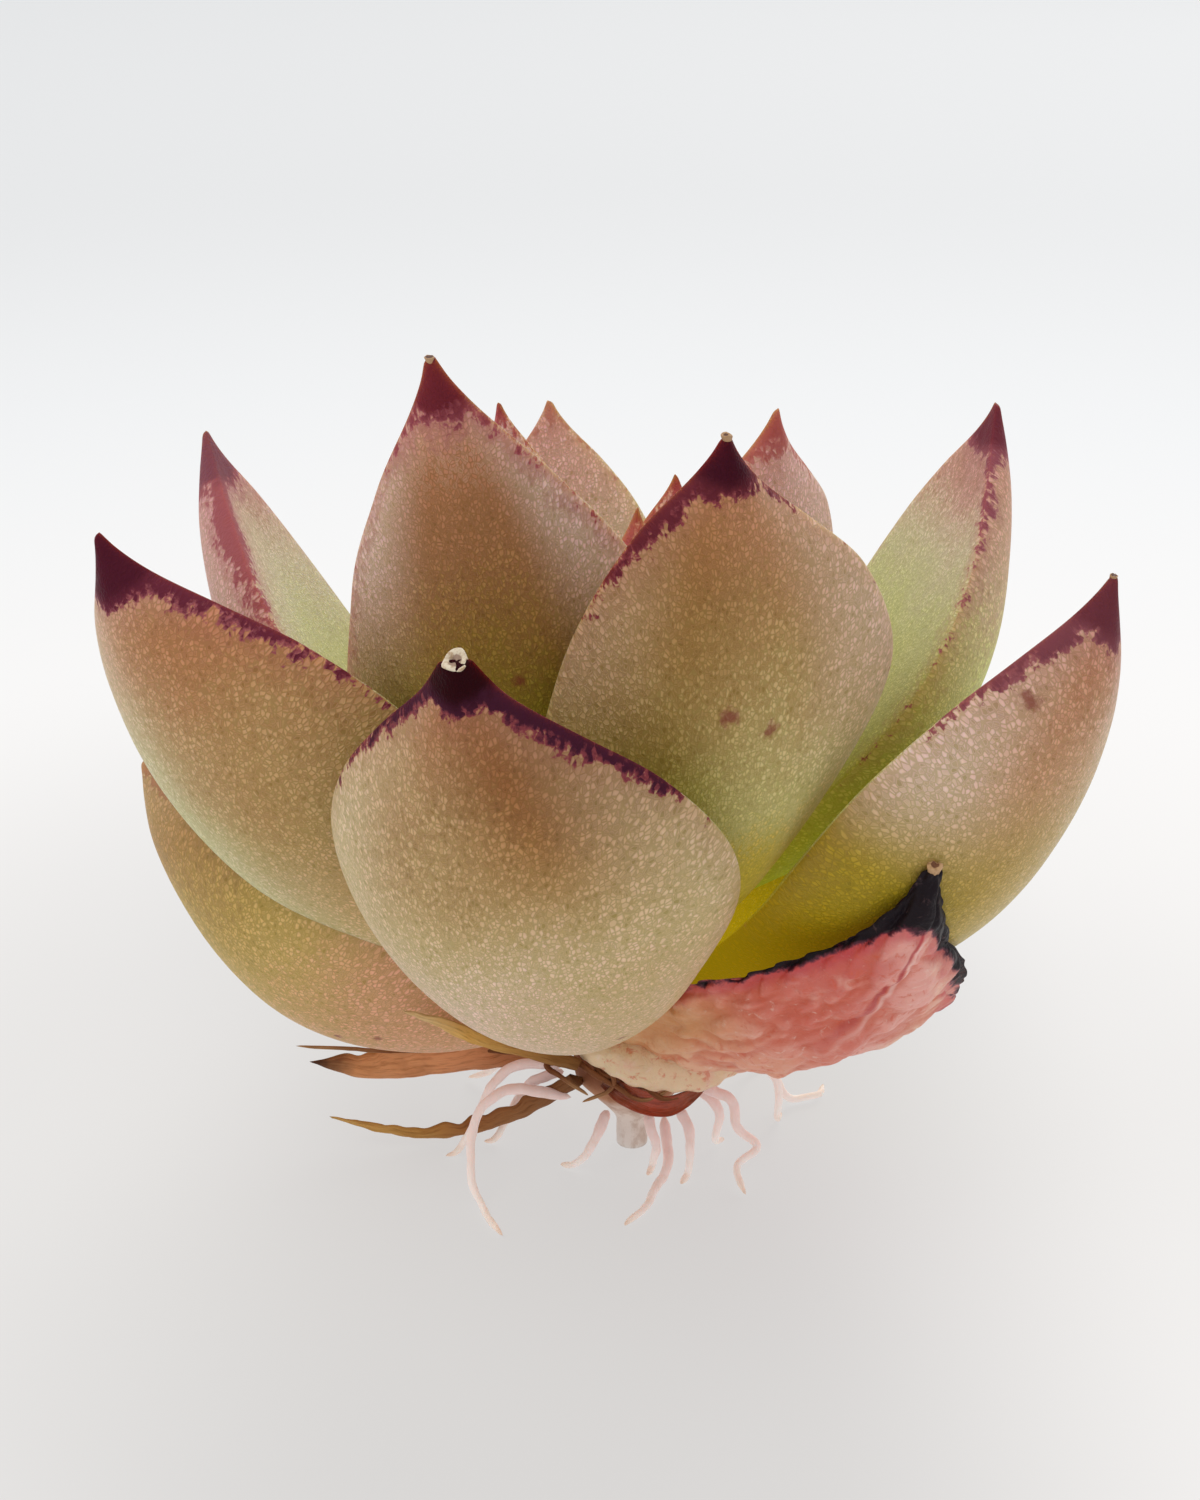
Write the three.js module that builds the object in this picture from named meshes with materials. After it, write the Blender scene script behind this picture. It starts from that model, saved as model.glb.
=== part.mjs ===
// A young rosette succulent with bare roots: a short stem that carries thick pointed leaves in a
// spiral, the papery remains of its oldest leaves, and a tuft of thin roots that it stands on.
// Millimetres, +Z up. The origin is the middle of the root crown's flat underside, on the surface
// the plant stands on. The front of the plant faces -Y.
import * as THREE from "three";

// ---- Driving dimensions ----
const STEM_RADIUS = 3.8;
const STEM_TOP = 26;
const STEM_TOP_RADIUS = 0.7;
const CROWN_HEIGHT = 6; // where the stem is full width, above its root crown
const TAPROOT_RADIUS = 1;
const LEAF_GAP = 0.45; // between the stem and the foot of each leaf
const FIRST_LEAF_HEIGHT = 8.6; // where the oldest leaf leaves the stem
const LEAF_RISE = 0.78; // height on the stem from one leaf to the next
const LEAF_SIDES = 16;
const LEAF_RINGS = 12;
const ROOT_RADIUS = 0.4;
const ROOT_END = 0.7; // width of a root's end as a share of its start
const STRAND_STEPS = 9;
const ROOT_SIDES = 6;
const PAPER_SIDES = 8;

const degrees = THREE.MathUtils.degToRad;

// ---- Colours ----
function finish(colour, roughness) {
  return new THREE.MeshStandardMaterial({ color: colour, roughness, metalness: 0 });
}
const FINISHES = {
  leaf: finish(0xa89a6e, 0.45),
  young_leaf: finish(0xb98a78, 0.45),
  withered: finish(0xd07a6a, 0.6),
  papery: finish(0x8a5f3a, 0.85),
  stem: finish(0x7a4a30, 0.8),
  root: finish(0xd9b9ab, 0.6),
};

// ---- Leaves ----
// Along a leaf, from its foot to its tip: share of the length, then half width and thickness, as shares
// of the greatest.
const LEAF_PROFILE = new THREE.CatmullRomCurve3([
  new THREE.Vector3(0.0, 0.34, 0.26),
  new THREE.Vector3(0.12, 0.46, 0.42),
  new THREE.Vector3(0.26, 0.71, 0.78),
  new THREE.Vector3(0.4, 0.93, 0.98),
  new THREE.Vector3(0.53, 1.0, 1.0),
  new THREE.Vector3(0.66, 0.94, 0.86),
  new THREE.Vector3(0.78, 0.74, 0.62),
  new THREE.Vector3(0.87, 0.47, 0.42),
  new THREE.Vector3(0.94, 0.19, 0.22),
  new THREE.Vector3(0.975, 0.075, 0.11),
  new THREE.Vector3(1.0, 0.02, 0.04),
]);
const WITHERED_PROFILE = new THREE.CatmullRomCurve3([
  new THREE.Vector3(0.0, 0.4, 0.6),
  new THREE.Vector3(0.12, 0.6, 0.9),
  new THREE.Vector3(0.28, 0.88, 1.0),
  new THREE.Vector3(0.42, 1.0, 1.0),
  new THREE.Vector3(0.55, 0.98, 0.9),
  new THREE.Vector3(0.7, 0.72, 0.7),
  new THREE.Vector3(0.82, 0.4, 0.6),
  new THREE.Vector3(0.9, 0.2, 0.6),
  new THREE.Vector3(0.96, 0.12, 0.5),
  new THREE.Vector3(1.0, 0.06, 0.3),
]);
const UPPER_SHARE = 0.28; // of the thickness, above the line through the margins
const MARGIN_TAPER = 1.4; // 1 gives an oval section, more gives sharper margins
const CUP = 0.2; // how far the margins stand above the middle, as a share of the half width

// 0 at the ends of the stretch of a leaf where a margin can be fuller or slimmer, 1 along its middle.
function shoulderAt(place) {
  return THREE.MathUtils.smoothstep(place, 0.3, 0.65) * (1 - THREE.MathUtils.smoothstep(place, 0.78, 0.97));
}

function stemRadius(height) {
  const crown = THREE.MathUtils.smoothstep(height, 1.5, CROWN_HEIGHT);
  const shoot = THREE.MathUtils.smoothstep(height, 10, STEM_TOP);
  return THREE.MathUtils.lerp(TAPROOT_RADIUS, THREE.MathUtils.lerp(STEM_RADIUS, STEM_TOP_RADIUS, shoot), crown);
}

// A closed mesh through rings of points, each ring listed the same way round, with a point at each end.
function skin(rings, first, last) {
  const sides = rings[0].length;
  const points = [first, ...rings.flat(), last];
  const triangles = [];
  const at = (ring, side) => 1 + ring * sides + (side % sides);
  for (let side = 0; side < sides; side++) {
    triangles.push(0, at(0, side + 1), at(0, side));
    for (let ring = 0; ring + 1 < rings.length; ring++) {
      triangles.push(at(ring, side), at(ring, side + 1), at(ring + 1, side + 1));
      triangles.push(at(ring, side), at(ring + 1, side + 1), at(ring + 1, side));
    }
    triangles.push(at(rings.length - 1, side), at(rings.length - 1, side + 1), points.length - 1);
  }
  const geometry = new THREE.BufferGeometry().setFromPoints(points);
  geometry.setIndex(triangles);
  geometry.computeVertexNormals();
  return geometry;
}

// A leaf in its own frame: X is away from the stem, Y is across and Z is up.
function leafGeometry(leaf) {
  const foot = new THREE.Vector3(stemRadius(leaf.foot) + LEAF_GAP, 0, leaf.foot);
  const tip = new THREE.Vector3(leaf.reach, 0, leaf.height);
  const chord = tip.clone().sub(foot);
  const lift = Math.atan2(chord.z, chord.x);
  const arm = chord.length() * 0.36;
  const low = lift - degrees(leaf.bow);
  const high = lift + degrees(leaf.bow);
  const spine = new THREE.CubicBezierCurve3(
    foot,
    new THREE.Vector3(foot.x + arm * Math.cos(low), 0, foot.z + arm * Math.sin(low)),
    new THREE.Vector3(tip.x - arm * Math.cos(high), 0, tip.z - arm * Math.sin(high)),
    tip,
  );
  const roll = degrees(leaf.roll);
  const rings = [];
  for (let step = 0; step <= LEAF_RINGS; step++) {
    const share = leaf.profile.getPoint(step / (LEAF_RINGS + 1));
    const place = Math.min(share.x, 1) ** (1 / leaf.belly);
    const centre = spine.getPointAt(place);
    const along = spine.getTangentAt(place);
    const up = new THREE.Vector3(-along.z, 0, along.x);
    const thickness = share.z * leaf.thickness;
    const ring = [];
    for (let side = 0; side < LEAF_SIDES; side++) {
      const turn = (2 * Math.PI * side) / LEAF_SIDES;
      const fuller = (Math.cos(turn) > 0 ? leaf.highFuller : leaf.lowFuller) * Math.abs(Math.cos(turn));
      const halfWidth = ((share.y * leaf.width) / 2) * (1 + fuller * shoulderAt(place));
      const across = halfWidth * Math.cos(turn);
      const face = Math.sin(turn) > 0 ? UPPER_SHARE : UPPER_SHARE - 1;
      const bulge = face * thickness * Math.abs(Math.sin(turn)) ** MARGIN_TAPER;
      const raised = bulge + CUP * halfWidth * Math.cos(turn) ** 2;
      const out = centre.clone().addScaledVector(up, raised * Math.cos(roll) + across * Math.sin(roll));
      out.y += across * Math.cos(roll) - raised * Math.sin(roll);
      ring.push(out);
    }
    rings.push(ring);
  }
  return skin(rings, foot, tip);
}

// Oldest first: name, azimuth from the front towards the right, reach and height of the tip, width,
// thickness, the bow of the spine and the roll about it in degrees, how much fuller the low margin (the
// clockwise one, seen from above) and the high margin are, and the belly, which sits lower below 1.
const LEAVES = [
  ["withered_leaf", 46.5, 22, 27.3, 16.2, 2.2, 32, -30, 0, 0.06, 1, "withered"],
  ["low_leaf_left", -92, 29.8, 26.3, 20, 6.6, 30, 13, 0.02, 0, 1, "leaf"],
  ["low_leaf_back_right", 138, 29, 29, 20, 7, 24, 0, 0, 0, 1, "leaf"],
  ["outer_leaf_front", -20.5, 26, 43, 21.8, 7.6, 21, 7, -0.03, 0.13, 1, "leaf"],
  ["low_leaf_back_left", -147, 28, 31.2, 19.4, 6.6, 24, 0, 0, 0, 1, "leaf"],
  ["outer_leaf_right", 68.5, 27.7, 42.5, 19.6, 7.2, 24, -20, 0.1, 0.06, 1, "leaf"],
  ["outer_leaf_left", -73, 30.7, 44.4, 21.5, 6.6, 21, 30, 0.05, 0.12, 1, "leaf"],
  ["outer_leaf_back", 172, 23.5, 36.4, 14.8, 4.8, 22, 6, 0, 0, 1, "leaf"],
  ["middle_leaf_front", 14.5, 17, 52, 18.8, 6.4, 18, 2, -0.1, 0.28, 1, "leaf"],
  ["middle_leaf_back_left", -114, 28, 45, 17, 6, 27, 12, -0.1, 0.1, 1, "leaf"],
  ["middle_leaf_right", 116, 24.8, 46.2, 18.8, 6.2, 29, -16, 0.1, 0, 1, "leaf"],
  ["middle_leaf_front_left", -35.5, 18.5, 55.6, 19.6, 4.4, 11, 22, -0.1, -0.2, 0.95, "leaf"],
  ["inner_leaf_back", -158, 14, 45.8, 14, 5, 22, 0, 0, 0, 1, "leaf"],
  ["inner_leaf_right", 47, 12, 51, 9.6, 2.8, 12, 0, -0.3, 0.5, 1, "leaf"],
  ["inner_leaf_left", -126, 10, 47.6, 10.6, 3.8, 8, 0, 0, 0, 1, "young_leaf"],
  ["heart_leaf_back", 159, 7, 43, 8, 3, 14, 0, 0, 0, 1, "young_leaf"],
  ["heart_leaf_front", 0, 4, 44.3, 6, 2.2, 10, 0, 0, 0, 1, "young_leaf"],
  ["heart_leaf_left", -95, 4, 41, 5.2, 1.6, 12, 0, 0, 0, 1, "young_leaf"],
  ["heart_leaf_right", 90, 4.4, 39.5, 5, 1.8, 14, 0, 0, 0, 1, "young_leaf"],
  ["bud_leaf_left", -52, 2.6, 37, 3.6, 1.3, 10, 0, 0, 0, 1, "young_leaf"],
  ["bud_leaf_right", 150, 2, 35.5, 3, 1.2, 8, 0, 0, 0, 1, "young_leaf"],
];

function leafMesh(row, order) {
  const [name, azimuth, reach, height, width, thickness, bow, roll, lowFuller, highFuller, belly, look] = row;
  const foot = FIRST_LEAF_HEIGHT + LEAF_RISE * order;
  const profile = look === "withered" ? WITHERED_PROFILE : LEAF_PROFILE;
  const shape = { foot, reach, height, width, thickness, bow, roll, lowFuller, highFuller, belly, profile };
  const mesh = new THREE.Mesh(leafGeometry(shape), FINISHES[look]);
  mesh.name = name;
  mesh.rotation.z = degrees(azimuth - 90);
  return mesh;
}

// ---- Roots and papery leaves ----
// A strand follows a line of points. Its section is an oval, level across the line, that keeps its
// width at the first point and reaches the given share of it at the last; a leaf-shaped one swells
// in between and is turned about the line.
function strandGeometry({ path, width, thickness, sides, end = 1, swell = 0, turn = 0 }) {
  const line = new THREE.CatmullRomCurve3(path.map((point) => new THREE.Vector3(...point)));
  const rings = [];
  for (let step = 0; step <= STRAND_STEPS; step++) {
    const share = step / STRAND_STEPS;
    const centre = line.getPointAt(share);
    const along = line.getTangentAt(share);
    const across = new THREE.Vector3(-along.y, along.x, 0).normalize();
    const up = across.clone().cross(along).negate();
    const taper = THREE.MathUtils.lerp(1, end, share) + swell * Math.sin(Math.PI * share);
    across.applyAxisAngle(along, degrees(turn));
    up.applyAxisAngle(along, degrees(turn));
    const ring = [];
    for (let side = 0; side < sides; side++) {
      const angle = (2 * Math.PI * side) / sides;
      const point = centre.clone().addScaledVector(across, (taper * width * Math.cos(angle)) / 2);
      ring.push(point.addScaledVector(up, (Math.min(taper, 1) * thickness * Math.sin(angle)) / 2));
    }
    rings.push(ring);
  }
  return skin(rings, line.getPointAt(0), line.getPointAt(1));
}

// Each root leaves the crown, sags and ends lying on the surface.
const ROOTS = {
  root_left_long: [[-4.3, -1.4, 6.6], [-8, -1.5, 6.2], [-9.8, -1.8, 3], [-11.3, -1.9, 0.3], [-12, -2.2, 0.24]],
  root_left_short: [[-4.4, 0, 5.2], [-5.6, -0.4, 5], [-7.4, 0.6, 2.6], [-8.9, -0.4, 0.3], [-9.6, -0.5, 0.24]],
  root_front_left: [[-3.9, -2.5, 4.8], [-8.3, -3.2, 5.6], [-10.2, -5, 3], [-9.4, -8.2, 0.35], [-8, -11, 0.24]],
  root_front_thin: [[-1.6, -2.6, 3.9], [-2.4, -3.6, 2.4], [-3.7, -3.4, 0.4], [-4.6, -3.2, 0.24]],
  root_front_short: [[0.9, -3.4, 4.2], [1.4, -4.2, 2.4], [1.2, -3.6, 0.35], [0.9, -4.4, 0.24]],
  root_front_bent: [[2.9, -3, 4.4], [3.6, -4.2, 2.6], [3.4, -4.6, 0.4], [3, -5.4, 0.24]],
  root_front_low: [[2, -1.7, 2.9], [2.2, -4.4, 0.9], [1.2, -7, 0.3], [-0.6, -9.9, 0.24]],
  root_right_short: [[4.2, -1.4, 4.8], [5.4, -1.8, 3.4], [5.3, -0.8, 0.4], [6, -0.2, 0.24]],
  root_right_curl: [[4, -2.4, 5.6], [6.4, -2.4, 4.4], [6.6, -3, 2.8], [8, -3.6, 1.8], [6.5, -4.6, 1], [7, -6.6, 0.24]],
  root_right_arch: [[4.3, 1, 6.2], [7.8, 0.8, 6.4], [9.3, 0.9, 3.8], [9.6, 2, 0.35], [9.9, 3, 0.24]],
  root_right_loop: [[4, 2.2, 5], [8, 3.4, 4], [10.6, 4.2, 0.5], [12.3, 4.8, 0.4], [13, 6.5, 0.24]],
  root_back_right: [[3, 3.4, 5.4], [6, 6, 4.8], [8.4, 8.4, 0.4], [9.4, 8.8, 0.24]],
  root_back_right_low: [[1.8, 3.4, 4], [3.8, 6.6, 2.4], [5.2, 10.2, 0.3], [5.4, 11.2, 0.24]],
  root_back: [[0.4, 4.4, 5.6], [0.8, 7.6, 5], [0, 10, 0.35], [-0.6, 11, 0.24]],
  root_back_left: [[-1.8, 3.9, 5], [-3.6, 7, 3.8], [-5.6, 8.8, 0.35], [-6.6, 9.4, 0.24]],
  root_back_left_low: [[-3.2, 3.2, 6], [-6.6, 5, 5.4], [-9.4, 6.6, 1.2], [-11, 7.4, 0.24]],
};

// The remains of the oldest leaves: thin brown strips, curled and twisted.
const PAPERY_LEAVES = {
  papery_leaf_front: {
    path: [[-3.3, -3.2, 7.4], [-5.8, -2.4, 8], [-9.2, -3.4, 8.6], [-11.4, -4.8, 9.6], [-13.9, -7.9, 11.9]],
    width: 1.6, thickness: 0.5, end: 0.2, swell: 0.3, turn: 40,
  },
  papery_leaf_left: {
    path: [[-4.2, 1.2, 6.2], [-8, 1.6, 5.6], [-12.4, 1.4, 5.2], [-17, 2, 4.2], [-20.9, 1.6, 5]],
    width: 2.4, thickness: 0.5, end: 0.2, swell: 0.9, turn: 50,
  },
  papery_leaf_low: {
    path: [[-3.4, -1.9, 4], [-6.6, -1.2, 2.4], [-10.3, -0.6, 1.2], [-14, -0.8, 1], [-19.5, -0.6, 2.2]],
    width: 1.4, thickness: 0.5, end: 0.2, swell: 0.7, turn: 25,
  },
  papery_leaf_right: {
    path: [[-1.8, -3.9, 7], [-0.4, -4.9, 6.4], [2, -4.9, 5.6], [4.6, -4.2, 6.6]],
    width: 1.2, thickness: 0.8, end: 0.3, swell: 0.8, turn: 60,
  },
};

function rootMesh([name, path]) {
  const width = 2 * ROOT_RADIUS;
  const shape = { path, width, thickness: width, sides: ROOT_SIDES, end: ROOT_END };
  const mesh = new THREE.Mesh(strandGeometry(shape), FINISHES.root);
  mesh.name = name;
  return mesh;
}

function paperyMesh([name, shape]) {
  const mesh = new THREE.Mesh(strandGeometry({ ...shape, sides: PAPER_SIDES }), FINISHES.papery);
  mesh.name = name;
  return mesh;
}

// ---- Stem, tapering below into a taproot with a flat end ----
function stemMesh() {
  const profile = [new THREE.Vector2(0, 0)];
  for (let height = 0; height < STEM_TOP; height += 1.5) {
    profile.push(new THREE.Vector2(stemRadius(height), height));
  }
  profile.push(new THREE.Vector2(0, STEM_TOP));
  const stem = new THREE.Mesh(new THREE.LatheGeometry(profile, 16), FINISHES.stem);
  stem.name = "stem";
  stem.rotation.x = Math.PI / 2;
  return stem;
}

const plant = new THREE.Group();
plant.add(...LEAVES.map(leafMesh), stemMesh());
plant.add(...Object.entries(PAPERY_LEAVES).map(paperyMesh));
plant.add(...Object.entries(ROOTS).map(rootMesh));
export default plant;
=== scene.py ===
"""A young rosette succulent with bare roots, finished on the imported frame.

Every piece is shaped in millimetres, like the part, and stored in metres. Z is up, the front faces -Y.
"""
import math

import bmesh
import bpy
from mathutils import Matrix, Vector, noise


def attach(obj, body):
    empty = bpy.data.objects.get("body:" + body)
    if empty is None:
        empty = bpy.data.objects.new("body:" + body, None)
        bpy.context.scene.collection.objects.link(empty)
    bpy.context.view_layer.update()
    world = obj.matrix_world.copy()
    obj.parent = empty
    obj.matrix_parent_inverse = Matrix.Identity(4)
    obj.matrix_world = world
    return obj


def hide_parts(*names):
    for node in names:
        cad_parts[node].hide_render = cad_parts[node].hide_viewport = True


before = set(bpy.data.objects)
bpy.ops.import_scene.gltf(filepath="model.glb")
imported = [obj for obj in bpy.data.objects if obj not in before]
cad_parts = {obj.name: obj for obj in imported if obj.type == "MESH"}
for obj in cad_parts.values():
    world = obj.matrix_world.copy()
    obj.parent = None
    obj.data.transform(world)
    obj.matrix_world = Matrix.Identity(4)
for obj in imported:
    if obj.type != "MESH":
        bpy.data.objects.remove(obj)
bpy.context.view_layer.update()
noise.seed_set(1)  # without a seed, noise_vector differs from run to run

MM = 0.001

# ---- Sizes shared with the part, in millimetres ----
STEM_RADIUS = 3.8
STEM_TOP = 26
STEM_TOP_RADIUS = 0.7
SHOOT_HEIGHT = 10
CROWN_HEIGHT = 6
TAPROOT_HEIGHT = 1.5
TAPROOT_RADIUS = 1
LEAF_GAP = 0.45
FIRST_LEAF_HEIGHT = 8.6
LEAF_RISE = 0.78
# A leaf's section: the share of its thickness above the margins, how it thins towards them, its hollow.
UPPER_SHARE = 0.28
MARGIN_TAPER = 1.4
CUP = 0.2
# How far a bow's pull reaches along the leaf, as a share of its chord.
SPINE_ARM = 0.36

# ---- Sizes of the finished pieces, in millimetres ----
# How far a leaf's foot runs in behind the stem's bark.
FOOT_DEPTH = 0.9
WITHERED_FOOT_DEPTH = 7.2
STEM_CAP = 0.3
SMOOTH_FOOT = 0.4
ROOT_RADIUS = 0.38
ROOT_TIP_RADIUS = 0.2
FIBRE_RADIUS = 0.24
FIBRE_TIP_RADIUS = 0.1
SHEATH_RADIUS = 0.6
SHEATH_SWELL = 1.05

# Along a leaf: share of the length, half width and thickness as shares of the greatest.
LEAF_OUTLINE = [
    (0, 0.34, 0.26), (0.12, 0.46, 0.42), (0.26, 0.71, 0.78), (0.4, 0.93, 0.98), (0.53, 1, 1),
    (0.66, 0.94, 0.86), (0.78, 0.74, 0.62), (0.87, 0.47, 0.42), (0.94, 0.19, 0.22), (0.975, 0.075, 0.11),
    (1, 0.02, 0.04),
]
BLUNT_OUTLINE = LEAF_OUTLINE[:-3] + [(0.94, 0.215, 0.22), (0.975, 0.125, 0.14), (1, 0.07, 0.1)]
WITHERED_OUTLINE = [
    (0, 0.6, 0.6), (0.12, 0.78, 0.9), (0.28, 0.92, 1), (0.42, 1, 1), (0.55, 0.98, 0.9),
    (0.7, 0.72, 0.7), (0.82, 0.4, 0.6), (0.9, 0.2, 0.6), (0.96, 0.12, 0.5), (1, 0.06, 0.3),
]
# Oldest first: name, azimuth, reach, height, width, thickness, bow, roll, how much fuller its low and
# high margins are above the middle, and its belly, which sits lower down the leaf below 1.
LEAVES = [
    ("withered_leaf", 47.5, 22, 27, 17.8, 2.4, 43, -30, -0.14, 0.22, 1),
    ("low_leaf_left", -91, 29.8, 26.8, 20.4, 7.4, 31, 25, 0.03, 0, 1),
    ("low_leaf_back_right", 138, 29, 29, 20, 7, 24, 0, 0, 0, 1),
    ("outer_leaf_front", -20.5, 26, 43, 21.8, 7.6, 21, 7, -0.03, 0.13, 1),
    ("low_leaf_back_left", -146, 28, 31.5, 20, 6.8, 24, 0, 0, 0, 1),
    ("outer_leaf_right", 68, 27.7, 42.5, 19.8, 7.5, 24, -20, 0.12, 0.08, 1),
    ("outer_leaf_left", -73, 30.7, 44.4, 21.5, 7, 21, 34, 0.05, 0.18, 1),
    ("outer_leaf_back", 169, 23.5, 37, 16, 5.6, 22, 8, 0, 0, 1),
    ("middle_leaf_front", 14.5, 17, 52, 18.8, 6.4, 18, 2, -0.1, 0.28, 1),
    ("middle_leaf_back_left", -109, 27.6, 45, 18.2, 7, 27, 17, -0.1, 0.15, 1),
    ("middle_leaf_right", 116, 24.8, 46.2, 19, 7, 29, -18, 0.12, 0, 1),
    ("middle_leaf_front_left", -35.5, 18.3, 55.6, 23, 6, 8, 31, -0.14, -0.12, 0.65),
    ("inner_leaf_back", -158, 14, 45.8, 14, 5, 22, 0, 0, 0, 1),
    ("inner_leaf_right", 40.5, 11.3, 51.2, 14, 3.8, 9, 0, 0, 0.3, 1),
    ("inner_leaf_left", -126, 10, 47.6, 10.6, 3.8, 8, 0, 0, 0, 1),
    ("heart_leaf_back", 159, 7, 43, 8, 3, 14, 0, 0, 0, 1),
    ("heart_leaf_front", 0, 4, 44.3, 6, 2.2, 10, 0, 0, 0, 1),
    ("heart_leaf_left", -95, 4, 41, 5.2, 1.6, 12, 0, 0, 0, 1),
    ("heart_leaf_right", 90, 4.4, 39.5, 5, 1.8, 14, 0, 0, 0, 1),
    ("bud_leaf_left", -52, 2.6, 37, 3.6, 1.3, 10, 0, 0, 0, 1),
    ("bud_leaf_right", 150, 2, 35.5, 3, 1.2, 8, 0, 0, 0, 1),
]
# Leaves from these places in the list on are rosy, and young. A big leaf is wider than this.
FIRST_ROSY_LEAF = 12
BIG_LEAF_WIDTH = 9

ROOTS = {
    "root_left_long": [
        (-4.3, -1.4, 6.6), (-8, -1.5, 6.2), (-9.8, -1.8, 3), (-11.3, -1.9, 0.3), (-12, -2.2, 0.24),
    ],
    "root_left_short": [
        (-4.4, 0, 5.2), (-5.6, -0.4, 5), (-7.4, 0.6, 2.6), (-8.9, -0.4, 0.3), (-9.6, -0.5, 0.24),
    ],
    "root_front_left": [
        (-3.9, -2.5, 4.8), (-8.3, -3.2, 5.6), (-10.2, -5, 3), (-9.4, -8.2, 0.35), (-8, -11, 0.24),
    ],
    "root_front_thin": [(-1.6, -2.6, 3.9), (-2.4, -3.6, 2.4), (-3.7, -3.4, 0.4), (-4.6, -3.2, 0.24)],
    "root_front_short": [(0.9, -3.4, 4.2), (1.4, -4.2, 2.4), (1.2, -3.6, 0.35), (0.9, -4.4, 0.24)],
    "root_front_bent": [(2.9, -3, 4.4), (3.6, -4.2, 2.6), (3.4, -4.6, 0.4), (3, -5.4, 0.24)],
    "root_front_low": [(2, -1.7, 2.9), (2.2, -4.4, 0.9), (1.2, -7, 0.3), (-0.6, -9.9, 0.24)],
    "root_right_short": [(4.2, -1.4, 4.8), (5.4, -1.8, 3.4), (5.3, -0.8, 0.4), (6, -0.2, 0.24)],
    "root_right_curl": [
        (4, -2.4, 5.6), (6.4, -2.4, 4.4), (6.6, -3, 2.8), (8, -3.6, 1.8), (6.5, -4.6, 1), (7, -6.6, 0.24),
    ],
    "root_right_arch": [(4.3, 1, 6.2), (7.8, 0.8, 6.4), (9.3, 0.9, 3.8), (9.6, 2, 0.35), (9.9, 3, 0.24)],
    "root_right_loop": [(4, 2.2, 5), (8, 3.4, 4), (10.6, 4.2, 0.5), (12.3, 4.8, 0.4), (13, 6.5, 0.24)],
    "root_back_right": [(3, 3.4, 5.4), (6, 6, 4.8), (8.4, 8.4, 0.4), (9.4, 8.8, 0.24)],
    "root_back_right_low": [(1.8, 3.4, 4), (3.8, 6.6, 2.4), (5.2, 10.2, 0.3), (5.4, 11.2, 0.24)],
    "root_back": [(0.4, 4.4, 5.6), (0.8, 7.6, 5), (0, 10, 0.35), (-0.6, 11, 0.24)],
    "root_back_left": [(-1.8, 3.9, 5), (-3.6, 7, 3.8), (-5.6, 8.8, 0.35), (-6.6, 9.4, 0.24)],
    "root_back_left_low": [(-3.2, 3.2, 6), (-6.6, 5, 5.4), (-9.4, 6.6, 1.2), (-11, 7.4, 0.24)],
}
# Name, width, thickness, end, swell, turn and path.
PAPERY_LEAVES = [
    ("papery_leaf_front", 1.5, 0.5, 0.25, 0.3, 60, [
        (-3.3, -4.8, 8.4), (-6.4, -4.5, 9.2), (-9.4, -4.9, 10.3), (-11.7, -6.9, 12.7), (-13.9, -7.9, 14.2),
    ]),
    ("papery_leaf_left", 3, 0.5, 0.2, 1, 62, [
        (-4.2, 1.2, 6.2), (-8, 1.6, 5.6), (-12.4, 1.4, 5.2), (-17, 2, 4.2), (-20.9, 1.6, 5),
    ]),
    ("papery_leaf_low", 1.9, 0.5, 0.2, 0.7, 40, [
        (-3.4, -2.6, 6.2), (-6.6, -1.4, 3.4), (-10.3, -0.6, 1.4), (-14, -0.8, 1.1), (-19.5, -0.6, 2.2),
    ]),
    ("papery_leaf_right", 1.2, 0.8, 0.3, 0.8, 60, [
        (-1.8, -3.9, 7), (-0.4, -4.9, 6.4), (2, -4.9, 5.6), (4.6, -4.2, 6.6),
    ]),
]
# Loose fibres round the crown.
FIBRES = [
    [(-4.2, -2.6, 7.6), (-3.4, -4.2, 8.2), (-1.6, -4.9, 7.2), (0.6, -4.8, 6), (2.4, -4.4, 6.6)],
    [(-3.2, -3.4, 8.2), (-2.2, -4.6, 8.8), (-1.2, -4.9, 7.6), (-1.6, -4.6, 6.4), (-3.2, -4.4, 5.6)],
    [(-2.6, -3.4, 8.4), (-2, -4.4, 7.6), (-0.4, -4.6, 7.4), (1.4, -4.3, 7.2)],
    [(-0.6, -3.9, 7.4), (0.6, -4.8, 7), (2, -4.7, 6), (3.4, -4.2, 6.2), (5.2, -3.6, 7.2)],
    [(-4.6, -1.8, 7), (-5.4, -3, 7.4), (-4.4, -4.2, 7.2), (-2.8, -4.6, 6.2)],
    [(-6, 0.6, 6.2), (-10, 0.9, 6.2), (-15, 0.8, 6.2), (-18.6, 0.9, 6.3), (-21.6, 0.6, 6.7)],
]
# The withered leaf's foot, which clasps the front of the stem.
SHEATH = [
    (-3.8, -3.4, 9.4), (-1.6, -4.2, 9), (0.8, -4.5, 8.5), (3.4, -4.2, 8.1), (6.2, -3, 8.5), (8, -1.4, 9.6),
]


# ---- Curves ----
def smoothstep(low, high, value):
    share = min(max((value - low) / (high - low), 0), 1)
    return share * share * (3 - 2 * share)


def lerp(start, end, share):
    return start + (end - start) * share


def smooth_join(t, start, leaving, end, arriving):
    """A smooth run from start to end as t goes from 0 to 1, with the slopes it leaves and arrives at."""
    square, cube = t ** 2, t ** 3
    return ((2 * cube - 3 * square + 1) * start + (cube - 2 * square + t) * leaving
            + (3 * square - 2 * cube) * end + (cube - square) * arriving)


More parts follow.
